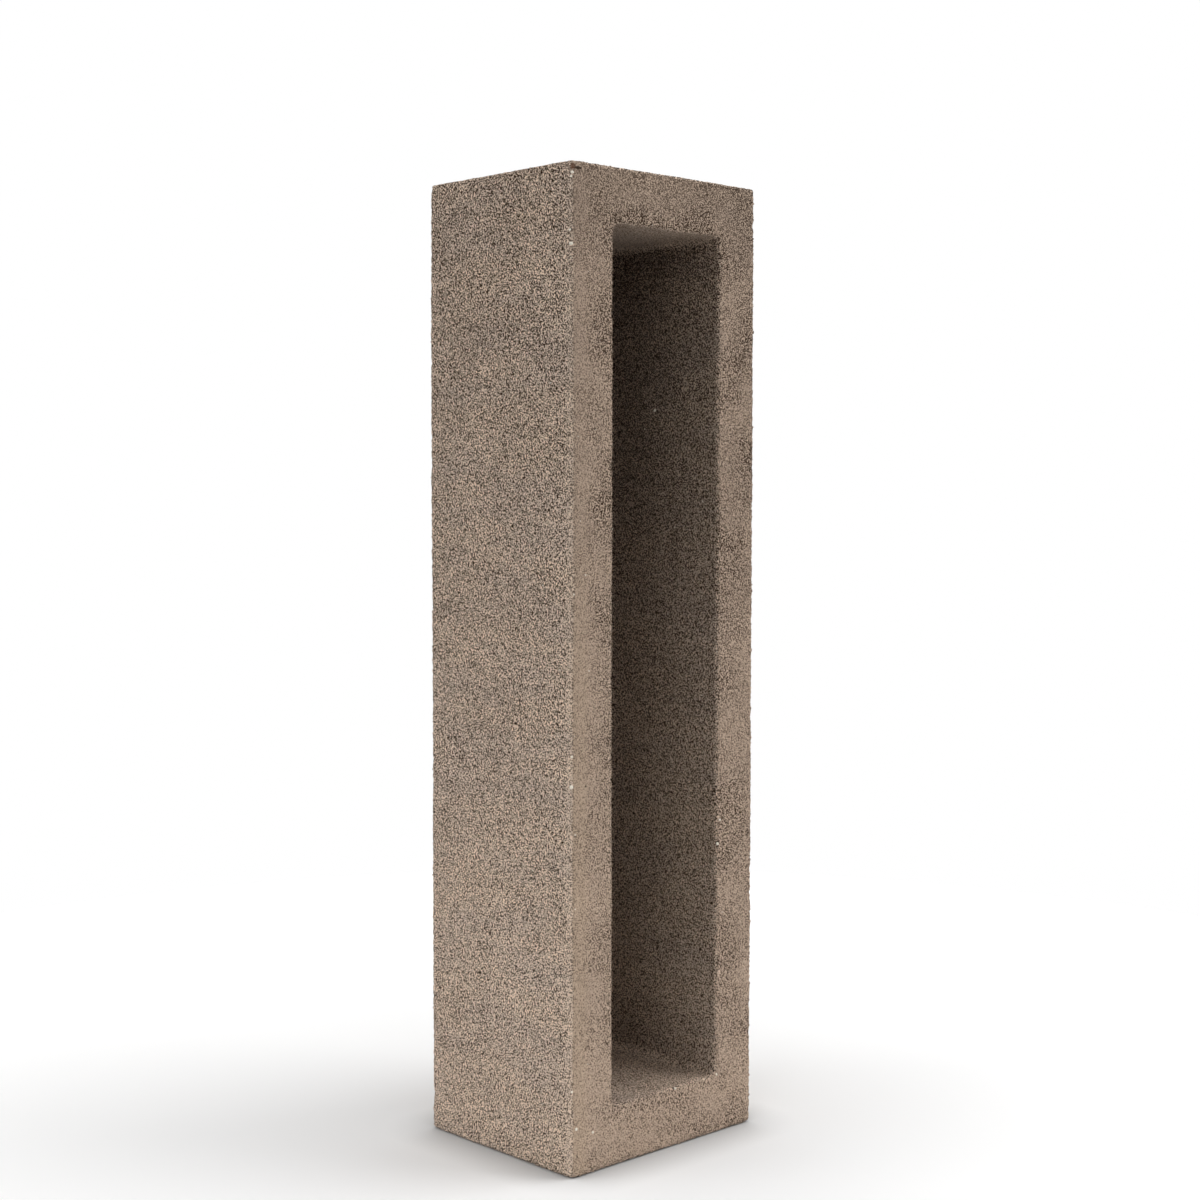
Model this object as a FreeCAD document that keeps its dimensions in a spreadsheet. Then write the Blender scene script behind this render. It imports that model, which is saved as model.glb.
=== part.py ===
"""Hollow foam ceramic block: one fired piece, a tall block with one deep recess in its front face.

Frame, in millimetres: origin at the middle of the base, +Z up the block, the recess opens towards -Y.
"""

import FreeCAD
import Part
import Sketcher
import os

TOLERANCE = 1e-4
CLEAR = 10 * TOLERANCE  # how far inside the outline a loop lies, so that it isn't an outer edge

# Driving dimensions. Each one is a cell of the spreadsheet, and the features read the cells.
DIMENSIONS = [
    ("block_height", 600.0, "standing height, base to top"),
    ("block_width", 158.0, "width of the front face"),
    ("block_depth", 132.0, "front face to back face"),
    ("side_wall", 33.0, "thickness of each wall beside the recess"),
    ("top_wall", 33.0, "thickness of the wall above the recess"),
    ("bottom_wall", 37.0, "thickness of the wall under the recess"),
    ("back_wall", 33.0, "thickness of the wall behind the recess"),
    ("recess_corner_radius", 6.0, "radius of the recess's four corners, seen from the front"),
    ("recess_root_radius", 5.0, "radius between the recess's walls and its back"),
    ("mouth_radius", 1.5, "rounding of the recess's mouth"),
    ("arris_radius", 2.5, "rounding of the block's twelve outer edges"),
]


def make_sheet(doc):
    """The spreadsheet that holds the driving dimensions, one aliased cell each."""
    sheet = doc.addObject("Spreadsheet::Sheet", "Sizes")
    for row, (alias, size, meaning) in enumerate(DIMENSIONS, start=1):
        sheet.set("A%d" % row, alias)
        sheet.set("B%d" % row, str(size))
        sheet.set("C%d" % row, meaning)
        sheet.setAlias("B%d" % row, alias)
    doc.recompute()
    return sheet


def origin_plane(body, role):
    """One of the body's own origin planes, found by its role."""
    return next(feature for feature in body.Origin.OriginFeatures if feature.Role == role)


def add_sketch(body, name, plane_role):
    """An empty sketch of the body, lying in one of its origin planes."""
    sketch = body.newObject("Sketcher::SketchObject", name)
    sketch.AttachmentSupport = [(origin_plane(body, plane_role), "")]
    sketch.MapMode = "FlatFace"
    return sketch


def add_size(sketch, name, constraint, expression):
    """A named dimension of the sketch, bound to an expression on the spreadsheet."""
    index = sketch.addConstraint(constraint)
    sketch.renameConstraint(index, name)
    sketch.setExpression("Constraints." + name, expression)


def draw_footprint(sketch):
    """A rectangle centred on the origin: the block's width and depth."""
    half_width, half_depth = 50.0, 40.0  # a first guess, until the sheet's cells drive the sketch
    corners = [
        FreeCAD.Vector(-half_width, -half_depth, 0),
        FreeCAD.Vector(half_width, -half_depth, 0),
        FreeCAD.Vector(half_width, half_depth, 0),
        FreeCAD.Vector(-half_width, half_depth, 0),
    ]
    for start, end in zip(corners, corners[1:] + corners[:1]):
        sketch.addGeometry(Part.LineSegment(start, end))
    for side in range(4):
        sketch.addConstraint(Sketcher.Constraint("Coincident", side, 2, (side + 1) % 4, 1))
    for side in (0, 2):
        sketch.addConstraint(Sketcher.Constraint("Horizontal", side))
    for side in (1, 3):
        sketch.addConstraint(Sketcher.Constraint("Vertical", side))
    sketch.addConstraint(Sketcher.Constraint("Symmetric", 0, 1, 1, 2, -1, 1))
    width = Sketcher.Constraint("DistanceX", 0, 1, 0, 2, 2 * half_width)
    depth = Sketcher.Constraint("DistanceY", 1, 1, 1, 2, 2 * half_depth)
    add_size(sketch, "width", width, "Sizes.block_width")
    add_size(sketch, "depth", depth, "Sizes.block_depth")


def draw_mouth(sketch):
    """The recess's outline on the front face: four straight sides joined by four tangent corner arcs."""
    left, right, low, high, radius = -30.0, 30.0, 30.0, 300.0, 5.0  # a first guess, as in the footprint
    quarter_turn = FreeCAD.Units.Quantity("90 deg").getValueAs("rad").Value
    sides = [
        ((left + radius, low), (right - radius, low)),
        ((right, low + radius), (right, high - radius)),
        ((right - radius, high), (left + radius, high)),
        ((left, high - radius), (left, low + radius)),
    ]
    for start, end in sides:
        sketch.addGeometry(Part.LineSegment(FreeCAD.Vector(*start, 0), FreeCAD.Vector(*end, 0)))
    # Arc k joins the end of side k to the start of the next side, turning anticlockwise.
    centres = [
        (right - radius, low + radius),
        (right - radius, high - radius),
        (left + radius, high - radius),
        (left + radius, low + radius),
    ]
    for k, centre in enumerate(centres):
        circle = Part.Circle(FreeCAD.Vector(*centre, 0), FreeCAD.Vector(0, 0, 1), radius)
        sketch.addGeometry(Part.ArcOfCircle(circle, (k - 1) * quarter_turn, k * quarter_turn))
    for k in range(4):
        arc = 4 + k
        sketch.addConstraint(Sketcher.Constraint("Tangent", k, 2, arc, 1))
        sketch.addConstraint(Sketcher.Constraint("Tangent", arc, 2, (k + 1) % 4, 1))
    for side in (0, 2):
        sketch.addConstraint(Sketcher.Constraint("Horizontal", side))
    for side in (1, 3):
        sketch.addConstraint(Sketcher.Constraint("Vertical", side))
    for arc in (5, 6, 7):
        sketch.addConstraint(Sketcher.Constraint("Equal", 4, arc))
    add_size(sketch, "corner_radius", Sketcher.Constraint("Radius", 4, radius), "Sizes.recess_corner_radius")
    # The sides are placed from the sketch's origin, which lies on the block's vertical axis at the base.
    add_size(
        sketch, "to_right_wall", Sketcher.Constraint("DistanceX", -1, 1, 1, 1, right),
        "Sizes.block_width / 2 - Sizes.side_wall",
    )
    add_size(
        sketch, "to_left_wall", Sketcher.Constraint("DistanceX", 3, 1, -1, 1, -left),
        "Sizes.block_width / 2 - Sizes.side_wall",
    )
    add_size(sketch, "to_floor", Sketcher.Constraint("DistanceY", -1, 1, 0, 1, low), "Sizes.bottom_wall")
    add_size(
        sketch, "to_ceiling", Sketcher.Constraint("DistanceY", -1, 1, 2, 1, high),
        "Sizes.block_height - Sizes.top_wall",
    )


def edges_within(shape, low, high):
    """Names of the edges that lie wholly inside the box between two corners."""
    names = []
    for number, edge in enumerate(shape.Edges, start=1):
        box = edge.BoundBox
        above = all(a >= b - TOLERANCE for a, b in zip((box.XMin, box.YMin, box.ZMin), low))
        below = all(a <= b + TOLERANCE for a, b in zip((box.XMax, box.YMax, box.ZMax), high))
        if above and below:
            names.append("Edge%d" % number)
    return names


def add_fillet(body, name, base, edges, expression):
    """A fillet of the named edges of the body's last feature."""
    fillet = body.newObject("PartDesign::Fillet", name)
    fillet.Base = (base, edges)
    fillet.setExpression("Radius", expression)
    body.Document.recompute()
    return fillet


def build_block(doc, sheet):
    """The block: a pad, a blind pocket for the recess, and the three roundings that firing leaves."""
    body = doc.addObject("PartDesign::Body", "Block")
    body.Label = "foam_ceramic_block"

    footprint = add_sketch(body, "Footprint", "XY_Plane")
    draw_footprint(footprint)
    pad = body.newObject("PartDesign::Pad", "BlockPad")
    pad.Profile = footprint
    pad.setExpression("Length", "Sizes.block_height")

    # The XZ plane's normal is -Y, so a positive offset moves the sketch out to the front face.
    mouth = add_sketch(body, "RecessMouth", "XZ_Plane")
    mouth.setExpression("AttachmentOffset.Base.z", "Sizes.block_depth / 2")
    draw_mouth(mouth)
    doc.recompute()
    pocket = body.newObject("PartDesign::Pocket", "Recess")
    pocket.Profile = mouth
    pocket.setExpression("Length", "Sizes.block_depth - Sizes.back_wall")
    doc.recompute()

    half_width = sheet.block_width / 2
    half_depth = sheet.block_depth / 2
    height = sheet.block_height
    recess_back = half_depth - sheet.back_wall
    # Loops inside the block's outline: the recess's root, at its back, and its mouth, in the front face.
    left, right = CLEAR - half_width, half_width - CLEAR
    low, high = CLEAR, height - CLEAR
    root_edges = edges_within(pocket.Shape, (left, recess_back, low), (right, recess_back, high))
    root = add_fillet(body, "RecessRoot", pocket, root_edges, "Sizes.recess_root_radius")
    mouth_edges = edges_within(root.Shape, (left, -half_depth, low), (right, -half_depth, high))
    mouth_round = add_fillet(body, "RecessMouthRound", root, mouth_edges, "Sizes.mouth_radius")

    arrises = set()
    sides = [
        ((x, y, 0), (x, y, height)) for x in (-half_width, half_width) for y in (-half_depth, half_depth)
    ]
    ends = [
        ((-half_width, y, z), (half_width, y, z)) for y in (-half_depth, half_depth) for z in (0, height)
    ] + [
        ((x, -half_depth, z), (x, half_depth, z)) for x in (-half_width, half_width) for z in (0, height)
    ]
    for start, end in sides + ends:
        arrises.update(edges_within(mouth_round.Shape, start, end))
    add_fillet(body, "Arrises", mouth_round, sorted(arrises), "Sizes.arris_radius")
    return body


def check_document(doc):
    """Stops the script if any object of the document failed to recompute."""
    for item in doc.Objects:
        if "Invalid" in item.State or "Error" in item.State:
            raise RuntimeError("%s failed: %s" % (item.Label, item.State))


def check_piece(piece):
    """Stops the script unless the piece is one valid solid."""
    shape = piece.Shape
    if shape.isNull() or not shape.isValid() or len(shape.Solids) != 1:
        raise RuntimeError("%s isn't one valid solid" % piece.Label)


def main():
    doc = FreeCAD.newDocument("HollowFoamCeramicBlock")
    sheet = make_sheet(doc)
    pieces = [build_block(doc, sheet)]
    doc.recompute()
    check_document(doc)
    os.makedirs("parts", exist_ok=True)
    for piece in pieces:
        check_piece(piece)
        piece.Shape.exportStep(os.path.join("parts", piece.Label + ".step"))
        box = piece.Shape.BoundBox
        print(
            "%s: %.1f x %.1f x %.1f mm, %.1f cm3"
            % (piece.Label, box.XLength, box.YLength, box.ZLength, piece.Shape.Volume / 1000)
        )


main()
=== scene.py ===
"""Looks of the hollow foam ceramic block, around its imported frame.

Frame, in metres: origin at the middle of the base, +Z up the block, the recess opens towards -Y.
The block's skin is one closed mesh with its open pores, and its loose grains are joined meshes.
"""

import math

import bpy
import numpy as np
from mathutils import Matrix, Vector
from mathutils.geometry import delaunay_2d_cdt


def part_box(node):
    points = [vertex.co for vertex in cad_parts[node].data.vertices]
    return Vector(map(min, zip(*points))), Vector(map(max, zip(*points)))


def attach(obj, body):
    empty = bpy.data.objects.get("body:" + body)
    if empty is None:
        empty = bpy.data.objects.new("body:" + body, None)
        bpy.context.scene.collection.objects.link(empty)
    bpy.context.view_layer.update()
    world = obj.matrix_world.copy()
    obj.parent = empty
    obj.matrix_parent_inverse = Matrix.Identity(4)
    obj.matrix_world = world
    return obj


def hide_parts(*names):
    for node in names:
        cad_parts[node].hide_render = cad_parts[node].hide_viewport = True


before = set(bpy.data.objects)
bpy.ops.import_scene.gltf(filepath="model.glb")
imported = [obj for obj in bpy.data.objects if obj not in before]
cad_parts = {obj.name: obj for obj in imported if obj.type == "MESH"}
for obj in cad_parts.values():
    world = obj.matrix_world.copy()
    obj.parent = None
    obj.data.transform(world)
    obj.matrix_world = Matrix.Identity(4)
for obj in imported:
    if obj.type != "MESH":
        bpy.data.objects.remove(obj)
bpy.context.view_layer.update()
MM = 0.001
BLOCK = "foam_ceramic_block"

# Roundings, as the block is fired, and the mesh that carries them.
ARRIS_RADIUS = 2.5 * MM
MOUTH_RADIUS = 1.5 * MM
CORNER_RADIUS = 6.0 * MM
ROOT_RADIUS = 5.0 * MM
EDGE_STEP = 1.7 * MM
INNER_STEP = 2.8 * MM
SKIN_STEP = 4.4 * MM
SKIN_MARGIN = 0.35 * SKIN_STEP
ROUNDING_ROWS = (0.33, 0.67, 1.0)
LIP_REACH = 3 * CORNER_RADIUS

# Open pores that are deep enough to be cut into the mesh.
PORE_PITCH = 6.8 * MM
PORE_RADII = (0.45 * MM, 0.85 * MM)
PORE_SIDES = 6
PORE_ROOM = 1.0 * MM
PORE_JITTER, SKIN_JITTER = 0.28, 0.3
# The share of the places for a pore that have one, by face.
FRONT_PORES, OUTER_PORES, BASE_PORES, WALL_PORES, BACK_PORES = 0.62, 0.85, 0.6, 0.7, 0.5
WELD = 0.002 * MM

# Where a point of the skin lies. Where faces meet, the higher number has it.
OUTER, FRONT, RECESS = 0, 1, 2
OUTER_FACES = 6

# Loose grains: crumbs of clay along the arrises, and pale grains. Their radii are in millimetres.
CRUMB_SHARE, CRUMB_EDGE = 0.12, 0.75
PALE_GRAINS = 200
CRUMB_RADII, PALE_RADII, SPECK_RADII = (0.35, 0.85), (0.3, 0.6), (0.9, 1.3)
SKIN_SMOOTH, GRAIN_SMOOTH = math.radians(50), math.radians(60)

random = np.random.default_rng(20)


def sharp_sizes():
    """The block's box and its recess's box, from the CAD node. The recess is what lies well inside."""
    low, high = (np.array(corner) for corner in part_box(BLOCK))
    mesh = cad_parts[BLOCK].data
    points = np.empty(len(mesh.vertices) * 3)
    mesh.vertices.foreach_get("co", points)
    points = points.reshape(-1, 3)
    margin = 2 * ARRIS_RADIUS
    inside = (np.abs(points[:, 0]) < high[0] - margin) & (points[:, 1] < high[1] - margin)
    inside &= (points[:, 2] > low[2] + margin) & (points[:, 2] < high[2] - margin)
    walls = points[inside & (points[:, 1] > low[1] + margin)]
    recess_low = np.array([walls[:, 0].min(), low[1], walls[:, 2].min()])
    return low, high, recess_low, walls.max(axis=0)


LOW, HIGH, RECESS_LOW, RECESS_HIGH = sharp_sizes()


def outer_corner(*ends):
    """A corner of the block's box: on each axis its low end where ends has 0, its high end where it has 1."""
    return np.where(ends, HIGH, LOW)


def recess_corner(*ends):
    """A corner of the recess's box, given in the same way."""
    return np.where(ends, RECESS_HIGH, RECESS_LOW)


# Places on the block where it is chipped, as (place, reach, depth). The first one shows brown clay.
BROWN_CHIP = np.array([LOW[0] + 0.4 * MM, LOW[1] + 0.4 * MM, HIGH[2] - 3.6 * MM])
CHIPS = [
    (BROWN_CHIP, 3.2 * MM, 0.8 * MM),
    (outer_corner(0, 0, 0), 5.0 * MM, 1.3 * MM),
    (outer_corner(1, 0, 0), 3.0 * MM, 0.9 * MM),
    (outer_corner(0, 1, 0), 3.0 * MM, 0.7 * MM),
]
# The middle of a slit in the front face, beside the brown chip.
SLIT = LOW[0] + 4.2 * MM, LOW[1], HIGH[2] - 4.4 * MM
# Pale specks that stand out, in millimetres from the near arris, from the front face and from the base.
SPECKS = [
    (0.3, 0.6, 592.8), (0.1, 1.2, 590.6), (0.0, 2.1, 560.0), (0.0, 1.2, 552.0),
    (0.2, 0.5, 253.0), (0.1, 0.7, 235.0), (0.3, 0.4, 53.0), (3.5, 0.0, 30.0),
    (17.0, 0.0, 25.0), (88.0, 0.2, 36.6), (125.4, 0.2, 38.0), (127.5, 0.1, 201.0),
    (125.5, 0.1, 186.0), (124.8, 56.2, 461.0),
]


# ---------------------------------------------------------------- the skin's flat faces


def side_points(start, end, step):
    """Evenly spaced numbers from start to end, both included, about a step apart."""
    return np.linspace(start, end, max(2, round((end - start) / step) + 1))


def loop_points(u0, u1, v0, v1, steps):
    """A rectangle's outline as points, anticlockwise.

    Its sides, in order, are low v, high u, high v and low u, and each has a step of its own.
    """
    low_v = side_points(u0, u1, steps[0])[:-1]
    high_u = side_points(v0, v1, steps[1])[:-1]
    high_v = side_points(u0, u1, steps[2])[:0:-1]
    low_u = side_points(v0, v1, steps[3])[:0:-1]
    return np.concatenate([
        np.stack([low_v, np.full_like(low_v, v0)], 1),
        np.stack([np.full_like(high_u, u1), high_u], 1),
        np.stack([high_v, np.full_like(high_v, v1)], 1),
        np.stack([np.full_like(low_u, u0), low_u], 1),
    ])


def scattered(u0, u1, v0, v1, pitch, jitter):
    """One point in each cell of a grid, moved from the cell's middle by up to jitter cells."""
    across, along = max(1, round((u1 - u0) / pitch)), max(1, round((v1 - v0) / pitch))
    i, j = np.meshgrid(np.arange(across), np.arange(along), indexing="ij")
    cells = np.stack([i.ravel(), j.ravel()], 1) + 0.5 + random.uniform(-jitter, jitter, (across * along, 2))
    return np.array([u0, v0]) + cells * np.array([(u1 - u0) / across, (v1 - v0) / along])


def outside(points, rectangle, margin):
    """Which points lie outside a rectangle by more than a margin. Without a rectangle, all do."""
    if rectangle is None:
        return np.ones(len(points), bool)
    u0, u1, v0, v1 = rectangle
    return (
        (points[:, 0] < u0 - margin) | (points[:, 0] > u1 + margin)
        | (points[:, 1] < v0 - margin) | (points[:, 1] > v1 + margin)
    )


def clear_of(points, centres, gaps):
    """Which points are further from every centre than that centre's gap."""
    if not len(centres):
        return np.ones(len(points), bool)
    apart = np.linalg.norm(points[:, None] - centres[None], axis=2)
    return (apart > gaps[None]).all(axis=1)


def face_mesh(size, steps, radii, density, hole=None):
    """One flat face with its open pores, as points (u, v), triangles, and how deep each point is sunk.

    The points are the outline, inset copies of it that carry the roundings, a ring round each pore with a
    sunk middle, and a loose scatter between. The triangles are the Delaunay triangles of them all. steps and
    radii go with the sides low v, high u, high v and low u, and hole is the opening's rectangle.
    """
    width, height = size
    rings = [loop_points(0, width, 0, height, steps)]
    outline = [len(rings[0])]
    for row in ROUNDING_ROWS:
        inset = [row * radius for radius in radii]
        rings.append(loop_points(inset[3], width - inset[1], inset[0], height - inset[2], steps))
    hole_gap = 0.0
    if hole is not None:
        mouth = loop_points(*hole, [EDGE_STEP] * 4)
        outline.append(len(mouth))
        rings.insert(1, mouth)
        for row in ROUNDING_ROWS:
            out = row * MOUTH_RADIUS
            grown = (hole[0] - out, hole[1] + out, hole[2] - out, hole[3] + out)
            rings.append(loop_points(*grown, [EDGE_STEP] * 4))
        hole_gap = MOUTH_RADIUS
    inner = (radii[3], width - radii[1], radii[0], height - radii[2])

    room = PORE_RADII[1] + PORE_ROOM
    pores = scattered(*inner, PORE_PITCH, PORE_JITTER)
    pores = pores[~outside(pores, inner, -room) & outside(pores, hole, hole_gap + room)]
    pores = pores[random.random(len(pores)) < density]
    radius = random.uniform(*PORE_RADII, len(pores))
    turn = random.uniform(0, 2 * math.pi, len(pores))
    angle = turn[:, None] + np.arange(PORE_SIDES) * 2 * math.pi / PORE_SIDES
    reach = radius[:, None] * random.uniform(0.86, 1.14, angle.shape)
    rims = pores[:, None] + reach[..., None] * np.stack([np.cos(angle), np.sin(angle)], -1)

    loose = scattered(*inner, SKIN_STEP, SKIN_JITTER)
    loose = loose[~outside(loose, inner, -SKIN_MARGIN) & outside(loose, hole, hole_gap + SKIN_MARGIN)]
    loose = loose[clear_of(loose, pores, radius * 1.2 + PORE_ROOM)]

    points = np.concatenate(rings + [rims.reshape(-1, 2), pores, loose])
    sunk = np.zeros(len(points))
    middles = sum(map(len, rings)) + rims.size // 2
    sunk[middles:middles + len(pores)] = radius * random.uniform(1.1, 1.7, len(pores))

    edges, first = [], 0
    for count in outline:
        edges += [(first + k, first + (k + 1) % count) for k in range(count)]
        first += count
    flat, _, triangles, sources, *_ = delaunay_2d_cdt(points.tolist(), edges, [], 0, WELD / 100, True)
    flat, triangles = np.array([tuple(point) for point in flat]), np.array(triangles)
    triangles = triangles[outside(flat[triangles].mean(axis=1), hole, 0)]
    return flat, triangles, sunk[[source[0] for source in sources]]


def block_faces():
    """The eleven faces of the sharp block, each as a tuple.

    A face is (corner, u axis, v axis, u and v sizes, steps, radii, share of pores kept, hole). Its u axis
    crossed with its v axis points out of the ceramic.
    """
    x, y, z = np.eye(3)
    w, d, h = HIGH - LOW
    rw, rd, rh = RECESS_HIGH - RECESS_LOW
    outer, arris = [EDGE_STEP] * 4, [ARRIS_RADIUS] * 4
    start, end = RECESS_LOW - LOW, RECESS_HIGH - LOW
    opening = (start[0], end[0], start[2], end[2])
    # Each kind of edge in the recess has its step and its radius.
    mouth, root, side = (EDGE_STEP, MOUTH_RADIUS), (INNER_STEP, ROOT_RADIUS), (INNER_STEP, CORNER_RADIUS)

    def sides(*pairs):
        return [step for step, radius in pairs], [radius for step, radius in pairs]

    # The front, right, back, left, top and base, then the recess's right, left, back, floor and ceiling.
    return [
        (outer_corner(0, 0, 0), x, z, (w, h), outer, arris, FRONT_PORES, opening),
        (outer_corner(1, 0, 0), y, z, (d, h), outer, arris, OUTER_PORES, None),
        (outer_corner(1, 1, 0), -x, z, (w, h), outer, arris, OUTER_PORES, None),
        (outer_corner(0, 1, 0), -y, z, (d, h), outer, arris, OUTER_PORES, None),
        (outer_corner(0, 0, 1), x, y, (w, d), outer, arris, OUTER_PORES, None),
        (outer_corner(0, 1, 0), x, -y, (w, d), outer, arris, BASE_PORES, None),
        (recess_corner(1, 1, 0), -y, z, (rd, rh), *sides(side, mouth, side, root), WALL_PORES, None),
        (recess_corner(0, 0, 0), y, z, (rd, rh), *sides(side, root, side, mouth), WALL_PORES, None),
        (recess_corner(0, 1, 0), x, z, (rw, rh), *sides(root, root, root, root), BACK_PORES, None),
        (recess_corner(0, 0, 0), x, y, (rw, rd), *sides(mouth, side, root, side), WALL_PORES, None),
        (recess_corner(0, 1, 1), x, -y, (rw, rd), *sides(root, side, mouth, side), WALL_PORES, None),
    ]


# ---------------------------------------------------------------- roundings and skin


def unit(vectors):
    """Vectors divided by their lengths, and those lengths."""
    length = np.linalg.norm(vectors, axis=-1, keepdims=True)
    return vectors / np.maximum(length, 1e-12), length


def round_outside(points, chosen):
    """Rounds the outer arrises.

    A point moves to its nearest place in the box shrunk by the radius, plus one radius towards the point.
    """
    centre = np.clip(points[chosen], LOW + ARRIS_RADIUS, HIGH - ARRIS_RADIUS)
    towards, _ = unit(points[chosen] - centre)
    points[chosen] = centre + ARRIS_RADIUS * towards


def rolled(across, depth, radius):
    """Two distances from a sharp edge, moved onto a quarter circle.

    The circle touches both faces a radius away from the edge, and only points nearer than that move.
    """
    towards, _ = unit(np.stack([across - radius, depth - radius], -1))
    near = (across < radius) & (depth < radius)
    return (
        np.where(near, radius + radius * towards[:, 0], across),
        np.where(near, radius + radius * towards[:, 1], depth),
    )


def round_recess(points, chosen):
    """Rounds the recess: its four corners in plan, then its root, then its mouth.

    In plan, a corner square of the rectangle is squeezed into its quarter disc: an offset (a, b) from the
    disc's centre is scaled by the larger of a and b over its length. The root and the mouth are rolled over
    their edges.
    """
    plan = points[chosen][:, [0, 2]]
    low, high = RECESS_LOW[[0, 2]] + CORNER_RADIUS, RECESS_HIGH[[0, 2]] - CORNER_RADIUS
    centre = np.clip(plan, low, high)
    away, length = unit(plan - centre)
    reach = np.maximum(np.abs(plan - centre).max(axis=1), 0)
    inside = CORNER_RADIUS - reach
    back = RECESS_HIGH[1] - points[chosen][:, 1]
    inside, back = rolled(inside, back, ROOT_RADIUS)
    front = RECESS_HIGH[1] - back - LOW[1]
    lip = np.abs(inside) < WELD
    new_out, new_front = rolled(np.zeros_like(front), front, MOUTH_RADIUS)
    inside = np.where(lip & (front < MOUTH_RADIUS), -new_out, inside)
    front = np.where(lip & (front < MOUTH_RADIUS), new_front, front)
    near_wall = length[:, 0] > 1e-9
    moved = np.where(near_wall[:, None], centre + (CORNER_RADIUS - inside)[:, None] * away, plan)
    points[chosen] = np.stack([moved[:, 0], LOW[1] + front, moved[:, 1]], 1)


def round_lip(points, chosen):
    """Rounds the front face's side of the mouth.

    Points within a radius of the opening roll over the lip. At its corners they are drawn in from squares to
    quarter circles, less and less up to LIP_REACH.
    """
    plan = points[chosen][:, [0, 2]]
    low, high = RECESS_LOW[[0, 2]] + CORNER_RADIUS, RECESS_HIGH[[0, 2]] - CORNER_RADIUS
    centre = np.clip(plan, low, high)
    away, length = unit(plan - centre)
    beyond = np.abs(plan - centre).max(axis=1) - CORNER_RADIUS
    out, front = rolled(beyond, np.zeros_like(beyond), MOUTH_RADIUS)
    spread = (CORNER_RADIUS + out) / (CORNER_RADIUS + beyond)
    straight = 1 - np.clip(beyond / LIP_REACH, 0, 1)
    pulled = (CORNER_RADIUS + beyond) / np.maximum(length[:, 0], 1e-9)
    scale = spread * (1 + (pulled - 1) * straight)
    moved = centre + (plan - centre) * scale[:, None]
    points[chosen] = np.stack([moved[:, 0], LOW[1] + front, moved[:, 1]], 1)


def waves(points, period, seed):
    """Smooth noise, mostly from -1 to 1: twice the mean of eight sine waves.

    Each wave has its own direction, and a length within 0.7 to 1.4 periods.
    """
    local, count = np.random.default_rng(seed), 8
    direction, _ = unit(local.normal(size=(count, 3)))
    number = 2 * math.pi / (period * local.uniform(0.7, 1.4, count))
    phase = local.uniform(0, 2 * math.pi, count)
    return np.sin(points @ (direction * number[:, None]).T + phase).sum(axis=1) / (count / 2)


def smooth_step(values, start, end):
    """0 below start, 1 above end, and 3t^2 - 2t^3 between."""
    t = np.clip((values - start) / (end - start), 0, 1)
    return t * t * (3 - 2 * t)


def edge_closeness(points):
    """1 on an outer arris or the recess's mouth, falling to 0 a few millimetres away."""
    reach = 3.5 * MM
    faces = np.sort(np.minimum(points - LOW, HIGH - points), axis=1)
    arris = 1 - smooth_step(faces[:, 1], 0, reach)
    plan = points[:, [0, 2]]
    past = np.maximum(RECESS_LOW[[0, 2]] - plan, plan - RECESS_HIGH[[0, 2]]).max(axis=1)
    mouth = np.maximum(np.abs(past), points[:, 1] - LOW[1])
    return np.maximum(arris, 1 - smooth_step(mouth, 0, reach))


def vertex_normals(points, triangles):
    """Each point's outward direction: the sum of its triangles' area-weighted normals, as a unit vector."""
    corners = points[triangles]
    across = np.cross(corners[:, 1] - corners[:, 0], corners[:, 2] - corners[:, 0])
    total = np.zeros_like(points)
    for k in range(3):
        np.add.at(total, triangles[:, k], across)
    return unit(total)[0]


def skin_shape():
    """The whole skin, welded from the eleven faces: points, triangles and how deep each point is sunk."""
    points, triangles, sunk, kind, first = [], [], [], [], 0
    for number, (corner, u, v, size, steps, radii, density, hole) in enumerate(block_faces()):
        flat, faces, depth = face_mesh(size, steps, radii, density, hole)
        points.append(corner + flat[:, :1] * u + flat[:, 1:] * v)
        triangles.append(faces + first)
        sunk.append(depth)
        kind.append(np.full(len(flat), FRONT if hole else RECESS if number >= OUTER_FACES else OUTER))
        first += len(flat)
    points, triangles = np.concatenate(points), np.concatenate(triangles)
    sunk, kind = np.concatenate(sunk), np.concatenate(kind)

    # Points of two faces that share an edge become one point.
    cells = np.round(points / WELD).astype(np.int64)
    _, kept, merged = np.unique(cells, axis=0, return_index=True, return_inverse=True)
    merged = merged.ravel()
    highest = np.zeros(len(kept), int)
    np.maximum.at(highest, merged, kind)
    points, sunk, kind, triangles = points[kept], sunk[kept], highest, merged[triangles]

    front = (kind == FRONT) & (np.abs(points[:, 1] - LOW[1]) < WELD)
    plan = points[:, [0, 2]]
    beyond = np.maximum(RECESS_LOW[[0, 2]] - plan, plan - RECESS_HIGH[[0, 2]]).max(axis=1)
    by_mouth = front & (beyond < LIP_REACH)
    recess = kind == RECESS
    round_lip(points, np.flatnonzero(by_mouth & ~recess))
    round_recess(points, np.flatnonzero(recess))
    round_outside(points, np.flatnonzero(~recess & ~by_mouth))
    return points, triangles, sunk


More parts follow.
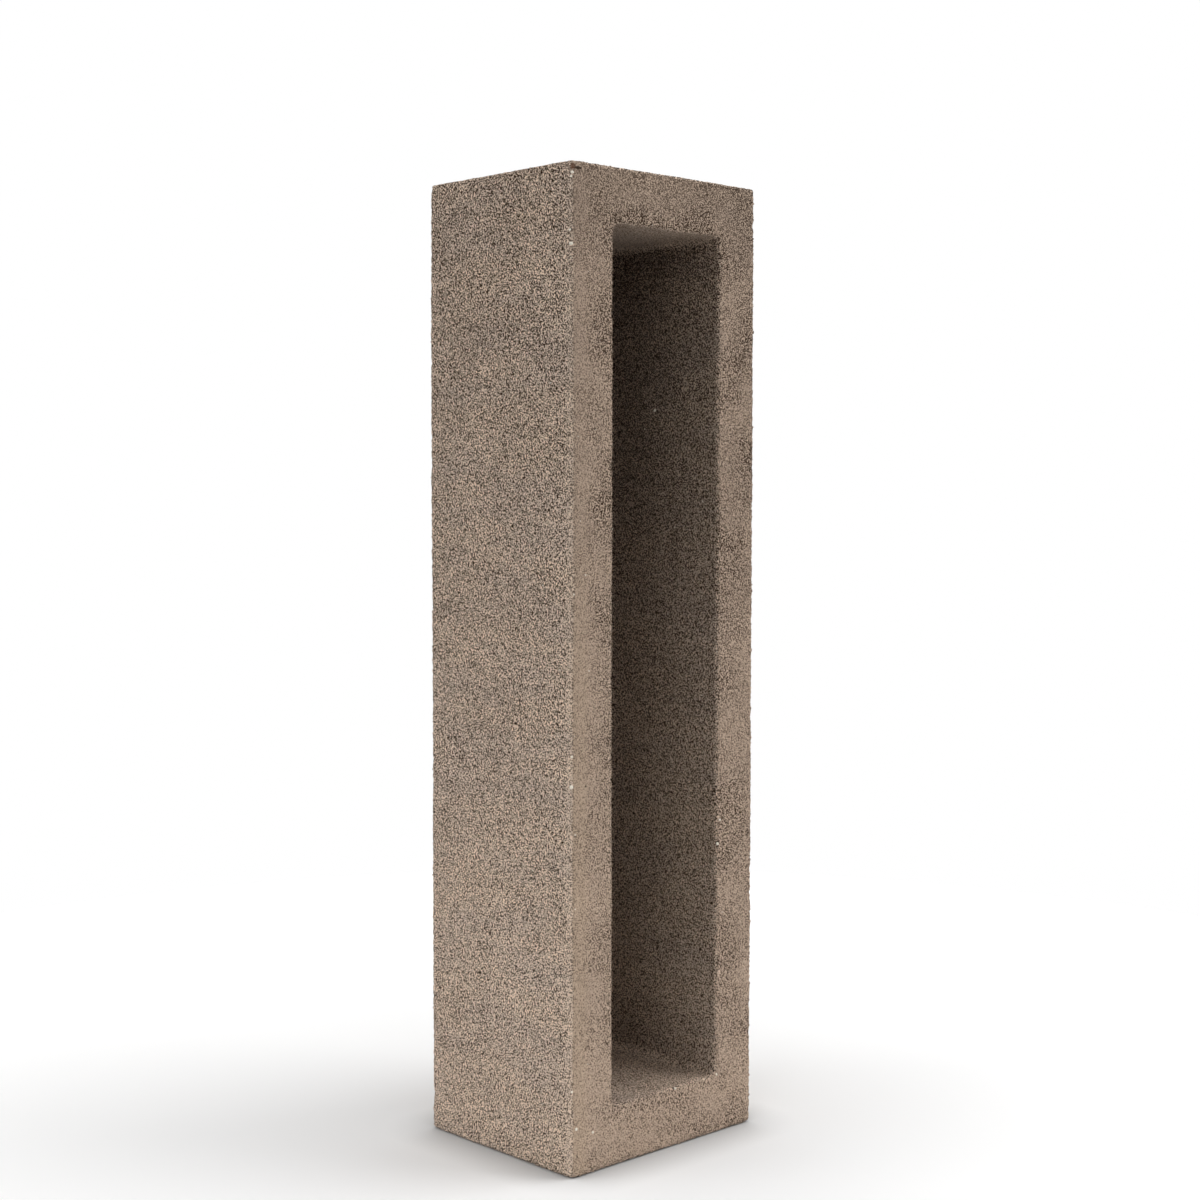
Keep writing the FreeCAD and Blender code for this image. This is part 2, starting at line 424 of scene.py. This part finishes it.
def new_object(name, points, triangles, material, smooth_below=None):
    """A mesh object from points and triangles, with soft shading up to an angle."""
    mesh = bpy.data.meshes.new(name)
    mesh.vertices.add(len(points))
    mesh.vertices.foreach_set("co", points.astype(np.float32).ravel())
    mesh.loops.add(triangles.size)
    mesh.loops.foreach_set("vertex_index", triangles.astype(np.int32).ravel())
    mesh.polygons.add(len(triangles))
    mesh.polygons.foreach_set("loop_start", np.arange(0, triangles.size, 3, dtype=np.int32))
    mesh.update(calc_edges=True)
    mesh.validate()
    if smooth_below:
        mesh.polygons.foreach_set("use_smooth", np.ones(len(triangles), bool))
        mesh.set_sharp_from_angle(angle=smooth_below)
    mesh.materials.append(material)
    item = bpy.data.objects.new(name, mesh)
    bpy.context.scene.collection.objects.link(item)
    return item


# ---------------------------------------------------------------- relief, grains


def chips(points):
    """How deep the worn places are cut: each chip is a ball-shaped dip, deepest in its middle."""
    depth = np.zeros(len(points))
    for place, reach, deep in CHIPS:
        away = np.linalg.norm(points - place, axis=1)
        depth = np.maximum(depth, deep * (1 - smooth_step(away, 0.25 * reach, reach)))
    return depth


def relief(points):
    """How far the skin stands out of the flat faces, in metres.

    It is a slow waviness, a granular roughness that the pressed front face has little of, and crumbled
    arrises: random grains, less a notch wherever smooth noise passes a threshold.
    """
    edge = edge_closeness(points)
    pressed = smooth_step(LOW[1] + 1.0 * MM - points[:, 1], 0, 1.0 * MM)
    grain = random.uniform(-1, 1, len(points))
    rough = (0.13 * (1 - edge) * (1 - 0.75 * pressed) + 0.34 * edge) * MM
    slow = 0.22 * MM * waves(points, 120 * MM, 3) + 0.10 * MM * waves(points, 22 * MM, 4)
    notch = 0.9 * MM * edge * smooth_step(waves(points, 7 * MM, 5), 0.62, 1.1)
    return slow + rough * grain - 0.16 * MM * edge - notch - chips(points)


def ball():
    """A coarse unit ball: an octahedron whose edges' middles are pushed out, 18 points and 32 triangles."""
    tips = np.concatenate([np.eye(3), -np.eye(3)])
    octants = [(i * 3 % 6, 1 + j * 3, 2 + k * 3) for i in (0, 1) for j in (0, 1) for k in (0, 1)]
    points, triangles = list(map(tuple, tips)), []

    def middle(a, b):
        place = tuple(unit(np.array(points[a]) + np.array(points[b]))[0])
        if place not in points:
            points.append(place)
        return points.index(place)

    for a, b, c in octants:
        if np.linalg.det(np.array([points[a], points[b], points[c]])) < 0:
            b, c = c, b
        ab, bc, ca = middle(a, b), middle(b, c), middle(c, a)
        triangles += [(a, ab, ca), (ab, b, bc), (ca, bc, c), (ab, bc, ca)]
    return np.array(points), np.array(triangles)


def grains(name, places, radii, material):
    """Loose grains as one joined mesh: a coarse ball at each place, stretched and turned at random."""
    shape, faces = ball()
    turns = np.linalg.qr(random.normal(size=(len(places), 3, 3)))[0]
    turns *= np.sign(np.linalg.det(turns))[:, None, None]
    stretch = random.uniform(0.7, 1.15, (len(places), 1, 3))
    balls = np.einsum("nij,nkj->nki", turns, shape[None] * stretch) * radii[:, None, None]
    points = np.maximum((balls + places[:, None]).reshape(-1, 3), [-np.inf, -np.inf, LOW[2]])
    triangles = (faces[None] + len(shape) * np.arange(len(places))[:, None, None]).reshape(-1, 3)
    return new_object(name, points, triangles, material, GRAIN_SMOOTH)


# ---------------------------------------------------------------- finishes


class Value:
    """A number or vector that varies over a surface: one output socket, whose arithmetic adds Math nodes."""

    def __init__(self, tree, socket):
        self.tree, self.socket = tree, socket

    def maths(self, operation, *values, clamp=False):
        settings = {"operation": operation, "use_clamp": clamp}
        return self.tree.node("ShaderNodeMath", settings, dict(enumerate(values)))

    def __add__(self, other):
        return self.maths("ADD", self, other)

    def __sub__(self, other):
        return self.maths("SUBTRACT", self, other)

    def __mul__(self, other):
        return self.maths("MULTIPLY", self, other)

    def __rsub__(self, other):
        return self.maths("SUBTRACT", other, self)

    __radd__, __rmul__ = __add__, __mul__

    def __abs__(self):
        return self.maths("ABSOLUTE", self)

    def at_least(self, other):
        return self.maths("MAXIMUM", self, other)

    def clamped(self):
        return self.maths("ADD", self, 0, clamp=True)

    def step(self, start, end):
        """0 at start, 1 at end and smooth between, whichever is larger."""
        low, high, flip = (start, end, False) if start < end else (end, start, True)
        inputs = {"Value": self, "From Min": low, "From Max": high}
        found = self.tree.node("ShaderNodeMapRange", {"interpolation_type": "SMOOTHSTEP"}, inputs)
        return 1 - found if flip else found


class Nodes:
    """A node tree, whose nodes are made by one call each."""

    def __init__(self, tree):
        self.nodes, self.links = tree.nodes, tree.links

    def node(self, kind, settings, inputs, output=0):
        """A node of any kind with its settings and its inputs, by name or number. Gives one of its outputs."""
        made = self.nodes.new(kind)
        for key, value in settings.items():
            setattr(made, key, value)
        for key, value in inputs.items():
            if isinstance(value, Value):
                self.links.new(value.socket, made.inputs[key])
            else:
                made.inputs[key].default_value = value
        return Value(self, made.outputs[output])

    def seen(self):
        """1 for camera, glossy and transmission rays, which see a white background, and 0 for the others."""
        rays = ("Is Camera Ray", "Is Glossy Ray", "Is Transmission Ray")
        camera, glossy, through = (self.node("ShaderNodeLightPath", {}, {}, ray) for ray in rays)
        return camera.at_least(glossy).at_least(through)


class Finish(Nodes):
    """A material's nodes, around its own Principled shader."""

    def __init__(self, name, roughness, specular=0.08):
        self.material = bpy.data.materials.new(name)
        self.material.use_nodes = True
        super().__init__(self.material.node_tree)
        self.shader = self.nodes["Principled BSDF"]
        self.shader.inputs["Roughness"].default_value = roughness
        self.shader.inputs["Specular IOR Level"].default_value = specular

    def feed(self, name, value):
        self.links.new(value.socket, self.shader.inputs[name])

    def place(self):
        return self.node("ShaderNodeTexCoord", {}, {}, "Object")

    def axes(self, place):
        return [self.node("ShaderNodeSeparateXYZ", {}, {0: place}, k) for k in range(3)]

    def noise(self, place, per_metre, detail, distortion=0.0):
        settings = {"noise_dimensions": "3D"}
        inputs = {"Vector": place, "Scale": per_metre, "Detail": detail, "Distortion": distortion}
        return self.node("ShaderNodeTexNoise", settings, inputs)

    def mix(self, factor, first, second, blend="MIX"):
        settings = {"data_type": "RGBA", "blend_type": blend}
        return self.node("ShaderNodeMix", settings, {0: factor, 6: first, 7: second}, 2)

    def vector(self, operation, first, second, output="Vector"):
        return self.node("ShaderNodeVectorMath", {"operation": operation}, {0: first, 1: second}, output)


def rgb(red, green, blue):
    """A colour as it looks, 0 to 255 (none below 11), in linear light."""
    return tuple(((c / 255 + 0.055) / 1.055) ** 2.4 for c in (red, green, blue)) + (1.0,)


WHITE = (1.0, 1.0, 1.0, 1.0)
WARM_CLAY, GREY_CLAY = rgb(212, 190, 170), rgb(203, 183, 166)
PRESSED_CLAY, BAND_CLAY = rgb(165, 144, 126), rgb(178, 157, 137)
# The pores' dark colour is painted shade for their hollows, and the brown is clay that a chip shows.
PAINTED_PORE_SHADE, BROWN_CLAY = rgb(54, 38, 27), rgb(128, 94, 75)
PALE_CLAY = rgb(246, 238, 224)
# How fine each noise is, in lattice cells per metre.
GRIT, COARSE, PATCH, CLOUD, STREAK, MOTTLE = 1250, 400, 38, 11, 16, 900

# Light from above and below the horizon, which is blurred over a band.
SKY_LIGHT, GROUND_LIGHT, HORIZON = 0.60, 0.20, 0.05
# The floor lies a little under the block. From a distance on it glows, most at its rim.
FLOOR_RADIUS, FLOOR_SIDES, FLOOR_DROP = 0.85, 96, 0.2 * MM
FLOOR_TONE, FLOOR_GLOW, FLOOR_GLOW_FROM = 0.9, 0.3, 0.14
# The floor's painted contact shadow: its tone right beside the block, and how far from the block it reaches.
CONTACT_TONE, CONTACT_REACH = 0.55, 34 * MM
# Each lamp's azimuth and elevation in degrees, distance and size in metres, and watts.
LAMPS = {
    "key": (-57, 21, 2.2, 0.5, 3),
    "right": (50, 38, 2.2, 1.5, 23),
    "left": (-112, 22, 2.2, 1.5, 12),
    "top": (0, 89, 2.4, 1.4, 11),
}
CAMERA_PLACE = (-0.8509, -0.8993, 0.4092)
CAMERA_TURN, CAMERA_PITCH, CAMERA_ROLL = 43.628, 3.218, 0.086
LENS, SENSOR = 58.4, 36.0


def fired_clay(name="foam_ceramic"):
    """The block's own finish: a pale fired network round dark open pores, pressed smoother on the front face.

    The grit is a fine noise of about two millimetres a wave. Its troughs are the pores, which are more open
    towards the top, and its crests are pale grains. Both are weaker on the front face, except in patches and
    round the recess's mouth, and weakest along its near arris. Bigger pores, troughs of a coarser noise,
    crowd at the top of the front face. The pores, big and small, are painted shade for their hollows. Painted
    shade also darkens the clay towards the top, inside the recess, on the lintel and up the far jamb.
    """
    finish = Finish(name, 0.9)
    place = finish.place()
    x, y, z = finish.axes(place)
    half, middle = (RECESS_HIGH - RECESS_LOW) / 2, (RECESS_HIGH + RECESS_LOW) / 2
    beside = (abs(x - middle[0]) - half[0]).at_least(abs(z - middle[2]) - half[2])

    # The grit is turned, so that the lattice of its noise doesn't line up with a face.
    turned = finish.node("ShaderNodeMapping", {}, {"Vector": place, "Rotation": (0.61, 0.43, 0.87)})
    grit = finish.noise(turned, GRIT, 0.2)
    coarse = finish.noise(turned, COARSE, 1.0)
    patch = finish.noise(place, PATCH, 3.0)
    cloud = finish.noise(place, CLOUD, 4.0, 0.4)
    streak = finish.noise(finish.vector("MULTIPLY", place, (1, 1, 3.2)), STREAK, 3.0)

    # Zones, 1 where they hold and 0 elsewhere. The band and the rubbed strip lie along the near arris.
    pressed = y.step(LOW[1] + 0.9 * MM, LOW[1] + 0.15 * MM)
    mouth = beside.step(17 * MM, 2 * MM)
    band = x.step(LOW[0] + 17 * MM, LOW[0] + 7 * MM)
    rubbed = y.step(LOW[1] + 8 * MM, LOW[1] + 1.5 * MM) * x.step(LOW[0] + 4 * MM, LOW[0] + 1 * MM)
    far = x.step(HIGH[0] - 30 * MM, HIGH[0] - 14 * MM)
    top = z.step(HIGH[2] - 8 * MM, HIGH[2] - 2 * MM)
    lintel = z.step(RECESS_HIGH[2] - 10 * MM, RECESS_HIGH[2] + 4 * MM)
    ceiling = z.step(RECESS_HIGH[2] - 5 * MM, RECESS_HIGH[2] - 1 * MM) * beside.step(1.5 * MM, 0.5 * MM)
    inside = beside.step(1.5 * MM, 0.5 * MM) * y.step(LOW[1] + 1 * MM, LOW[1] + 4 * MM)
    inside = inside * y.step(HIGH[1] - 20 * MM, HIGH[1] - 28 * MM)
    walls = inside * (abs(z - middle[2]) - half[2]).step(-1 * MM, -6 * MM)
    upper, deeper = z.step(0.55 * HIGH[2], 0.9 * HIGH[2]), y.step(LOW[1] + 10 * MM, LOW[1] + 60 * MM)

    # How open the clay is, and from that its pores, its bigger pores and its pale grains.
    few = 0.42 + (patch - 0.5) * 1.8 + mouth * 0.34 + far * 0.25 - band * 0.55
    wanted = (1 - pressed) * (1 - ceiling * 0.6) * (1 - rubbed * 0.5) + pressed * few.clamped()
    level = 0.425 + z * (0.045 / HIGH[2]) + wanted * 0.05 + (patch - 0.5) * (0.04 + pressed * 0.08)
    pore = ((level - grit) * 11.0).clamped() * (0.55 + wanted * 0.45)
    deep = 0.31 + (patch - 0.5) * 0.10 + pressed * (0.02 + top * 0.21)
    wide = ((deep - coarse) * 10.0).clamped() * (0.3 + wanted * 0.7)
    light = ((grit - 0.5) * 7.0).clamped() * (0.5 + wanted * 0.5)

    # The clay's colour, and how light or dark it is: random tone, and painted shade towards the top, inside
    # the recess, on the lintel and up the far jamb.
    skin = finish.mix(streak.step(0.35, 0.68), WARM_CLAY, GREY_CLAY)
    skin = finish.mix(pressed * 0.75, skin, PRESSED_CLAY)
    skin = finish.mix(pressed * band * z.step(HIGH[2] * 0.8, HIGH[2] * 0.4), skin, BAND_CLAY)
    # Painted shade: darker towards the top. The cloud and coarse noise give random tone, and light lifts the
    # pale grains.
    shade = 1.05 - z * (0.24 / HIGH[2]) + (cloud - 0.5) * 0.34 + (coarse - 0.5) * 0.14
    shade = shade + light * (0.42 + z * (0.16 / HIGH[2]))
    # Painted shade inside the recess, most on its walls, higher up and deeper in.
    shade = shade - inside * 0.14 - walls * (0.16 + upper * 0.11 + deeper * 0.12)
    # Painted shade on the front face's lintel, and up its far jamb.
    shade = shade - pressed * (far * z * (0.07 / HIGH[2]) + lintel * 0.07)
    grey = finish.node("ShaderNodeCombineXYZ", {}, {axis: shade for axis in range(3)})
    skin = finish.mix(1.0, skin, grey, "MULTIPLY")

    # The slit is where the distance from its middle, shortened to 0.3 along it, is small.
    from_slit = finish.vector("MULTIPLY", finish.vector("SUBTRACT", place, SLIT), (0.3, 0.3, 1))
    slit = finish.vector("LENGTH", from_slit, (0, 0, 0), "Value").step(1.0 * MM, 0.6 * MM)
    opened = finish.node("ShaderNodeAttribute", {"attribute_name": "pore"}, {}, "Fac")
    # Painted shade in the hollows of the pores, the bigger pores, the cut pits and the slit.
    hollow = pore.at_least(wide * 0.9).at_least(opened.step(0.2, 0.9) * 0.85).at_least(slit * 0.9)
    skin = finish.mix(hollow, skin, PAINTED_PORE_SHADE)
    chip_away = finish.vector("DISTANCE", place, tuple(BROWN_CHIP), "Value")
    finish.feed("Base Color", finish.mix(chip_away.step(2.3 * MM, 1.5 * MM) * 0.85, skin, BROWN_CLAY))
    finish.feed("Roughness", 0.84 + pore * 0.12)
    height = (light - pore * 1.2 - wide * 1.5) * (1 - pressed * 0.3) - slit * 2
    bump = {"Strength": 1.0, "Distance": 0.4 * MM, "Height": height}
    finish.feed("Normal", finish.node("ShaderNodeBump", {}, bump))
    return finish.material


def plain_grain(name, colour, spread):
    """A loose grain's finish: one colour, clouded by fine noise."""
    finish = Finish(name, 0.75)
    mottle = finish.noise(finish.place(), MOTTLE, 2.0)
    shade = tuple(c * (1 - spread) for c in colour[:3]) + (1.0,)
    finish.feed("Base Color", finish.mix(mottle.step(0.35, 0.65), shade, colour))
    return finish.material


# ---------------------------------------------------------------- floor, light, camera


def make_world():
    """Even studio light: white to the camera, and for light a soft sky over a darker ground."""
    world = bpy.data.worlds.new("studio")
    bpy.context.scene.world = world
    world.use_nodes = True
    studio = Nodes(world.node_tree)
    place = studio.node("ShaderNodeTexCoord", {}, {}, "Generated")
    rise = studio.node("ShaderNodeSeparateXYZ", {}, {0: place}, "Z")
    sky = {"From Min": -HORIZON, "From Max": HORIZON, "To Min": GROUND_LIGHT, "To Max": SKY_LIGHT}
    strength = studio.node("ShaderNodeMapRange", {}, {"Value": rise, **sky})
    lit, output = studio.nodes["Background"], studio.nodes["World Output"]
    lit.inputs["Color"].default_value = WHITE
    studio.links.new(strength.socket, lit.inputs["Strength"])
    white = studio.node("ShaderNodeBackground", {}, {"Color": WHITE})
    either = {0: studio.seen(), 1: Value(studio, lit.outputs[0]), 2: white}
    studio.links.new(studio.node("ShaderNodeMixShader", {}, either).socket, output.inputs["Surface"])


def make_floor():
    """A pale round floor that keeps the block's shadow. To the camera it glows towards its rim."""
    angle = np.linspace(0, 2 * math.pi, FLOOR_SIDES, endpoint=False)
    rim = np.stack([np.cos(angle), np.sin(angle), np.zeros(FLOOR_SIDES)], 1) * FLOOR_RADIUS
    points = np.concatenate([rim, [[0, 0, 0]]]) + [0, 0, LOW[2] - FLOOR_DROP]
    k = np.arange(FLOOR_SIDES)
    triangles = np.stack([k, (k + 1) % FLOOR_SIDES, np.full(FLOOR_SIDES, FLOOR_SIDES)], 1)

    finish = Finish("pale_floor", 1.0, 0.0)
    finish.shader.inputs["Emission Color"].default_value = WHITE
    # Beside a wall half of the sky is hidden, and there the base colour darkens to a painted contact shadow.
    unhidden = finish.node("ShaderNodeAmbientOcclusion", {}, {"Distance": CONTACT_REACH}, "AO")
    tone = {"Value": unhidden, "From Min": 0.5, "To Min": CONTACT_TONE, "To Max": FLOOR_TONE}
    finish.feed("Base Color", finish.node("ShaderNodeMapRange", {}, tone))
    away = finish.vector("LENGTH", finish.place(), (0, 0, 0), "Value")
    glow = {"Value": away, "From Min": FLOOR_GLOW_FROM, "From Max": FLOOR_RADIUS, "To Max": FLOOR_GLOW}
    finish.feed("Emission Strength", finish.seen() * finish.node("ShaderNodeMapRange", {}, glow))
    floor = new_object("floor", points, triangles, finish.material)


def aim(item, place, target):
    """Puts a lamp at a place, facing a target."""
    item.location = place
    towards = np.array(target) - np.array(place)
    tilt = math.atan2(math.hypot(towards[0], towards[1]), -towards[2])
    item.rotation_euler = tilt, 0, math.atan2(towards[1], towards[0]) - math.pi / 2


def area_lamp(name, azimuth, elevation, distance, size, watts):
    """A soft square lamp, at an azimuth from the front (left is negative) and an elevation, in degrees."""
    lamp = bpy.data.lights.new(name, "AREA")
    lamp.size, lamp.energy = size, watts
    item = bpy.data.objects.new(name, lamp)
    bpy.context.scene.collection.objects.link(item)
    turn, rise = math.radians(azimuth), math.radians(elevation)
    middle = (LOW + HIGH) / 2
    away = np.array([math.sin(turn) * math.cos(rise), -math.cos(turn) * math.cos(rise), math.sin(rise)])
    aim(item, middle + distance * away, middle)


def make_camera():
    """A 58 mm lens at the front left, a little above the block's middle, looking slightly down."""
    camera = bpy.data.cameras.new("camera")
    camera.lens, camera.sensor_width = LENS, SENSOR
    item = bpy.data.objects.new("camera", camera)
    bpy.context.scene.collection.objects.link(item)
    turn = (
        Matrix.Rotation(-math.radians(CAMERA_TURN), 4, "Z")
        @ Matrix.Rotation(math.radians(90 - CAMERA_PITCH), 4, "X")
        @ Matrix.Rotation(math.radians(CAMERA_ROLL), 4, "Z")
    )
    item.matrix_world = Matrix.Translation(CAMERA_PLACE) @ turn
    bpy.context.scene.camera = item


# ---------------------------------------------------------------- the scene

make_camera()
make_world()
make_floor()
for lamp_name, settings in LAMPS.items():
    area_lamp(lamp_name, *settings)

clay = fired_clay()
flat_points, triangles, sunk = skin_shape()
normals = vertex_normals(flat_points, triangles)
points = flat_points + normals * (relief(flat_points) - sunk)[:, None]
points[:, 2] = np.maximum(points[:, 2], LOW[2])
skin = new_object("foam_ceramic_skin", points, triangles, clay, SKIN_SMOOTH)
opened = skin.data.attributes.new("pore", "FLOAT", "POINT")
opened.data.foreach_set("value", (sunk > 0).astype(np.float32))
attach(skin, "root")
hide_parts(BLOCK)

surface = np.flatnonzero(sunk == 0)
edge = edge_closeness(flat_points[surface])
worn = surface[(edge > CRUMB_EDGE) & (random.random(len(surface)) < CRUMB_SHARE)]
size = random.uniform(*CRUMB_RADII, len(worn)) * MM
crumbs = grains("arris_grains", points[worn] - 0.35 * size[:, None] * normals[worn], size, clay)
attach(crumbs, "root")

pale = plain_grain("pale_grain", PALE_CLAY, 0.12)
spots = surface[random.random(len(surface)) < PALE_GRAINS / len(surface)]
marked = LOW + np.array(SPECKS) * MM
places = np.concatenate([points[spots] - 0.15 * MM * normals[spots], marked])
size = [random.uniform(*PALE_RADII, len(spots)), random.uniform(*SPECK_RADII, len(marked))]
size = np.concatenate(size) * MM
specks = grains("pale_grains", places, size, pale)
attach(specks, "root")

scene = bpy.context.scene
scene.view_settings.view_transform = "Standard"
